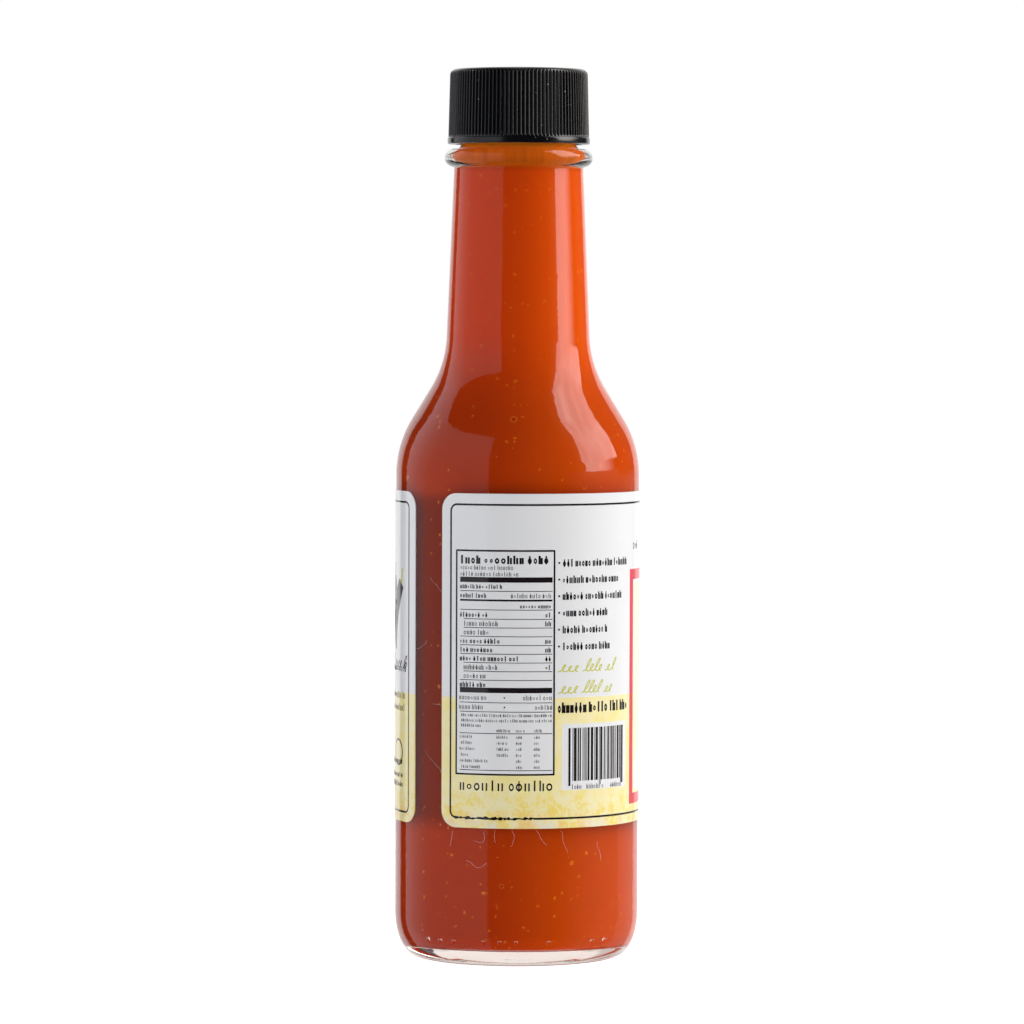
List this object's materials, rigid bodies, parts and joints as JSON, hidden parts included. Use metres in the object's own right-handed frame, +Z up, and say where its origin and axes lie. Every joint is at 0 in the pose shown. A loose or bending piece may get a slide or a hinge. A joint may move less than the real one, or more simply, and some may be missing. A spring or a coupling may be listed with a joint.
{
  "type": "hot sauce bottle",
  "caption": "Round clear glass bottle with a long neck, filled with hot sauce, closed by a ribbed screw cap and wrapped by a paper label.",
  "frame": {"origin": "centre of the resting plane, under the bottle's axis", "axes": "+Z up along the bottle's axis, -Y towards the front, where the label's printed panel is, +X to the right of it"},
  "size_m": [0.0474, 0.0474, 0.1715],
  "materials": {
    "clear_glass": "gloss",
    "hot_sauce": "thick opaque orange-red sauce with small flecks",
    "black_plastic": "satin",
    "label_paper": "semi-gloss, printed"
  },
  "bodies": {
    "root": {"bottle_glass": "clear_glass", "sauce": "hot_sauce", "cap": "black_plastic", "label": "label_paper"}
  },
  "joints": []
}
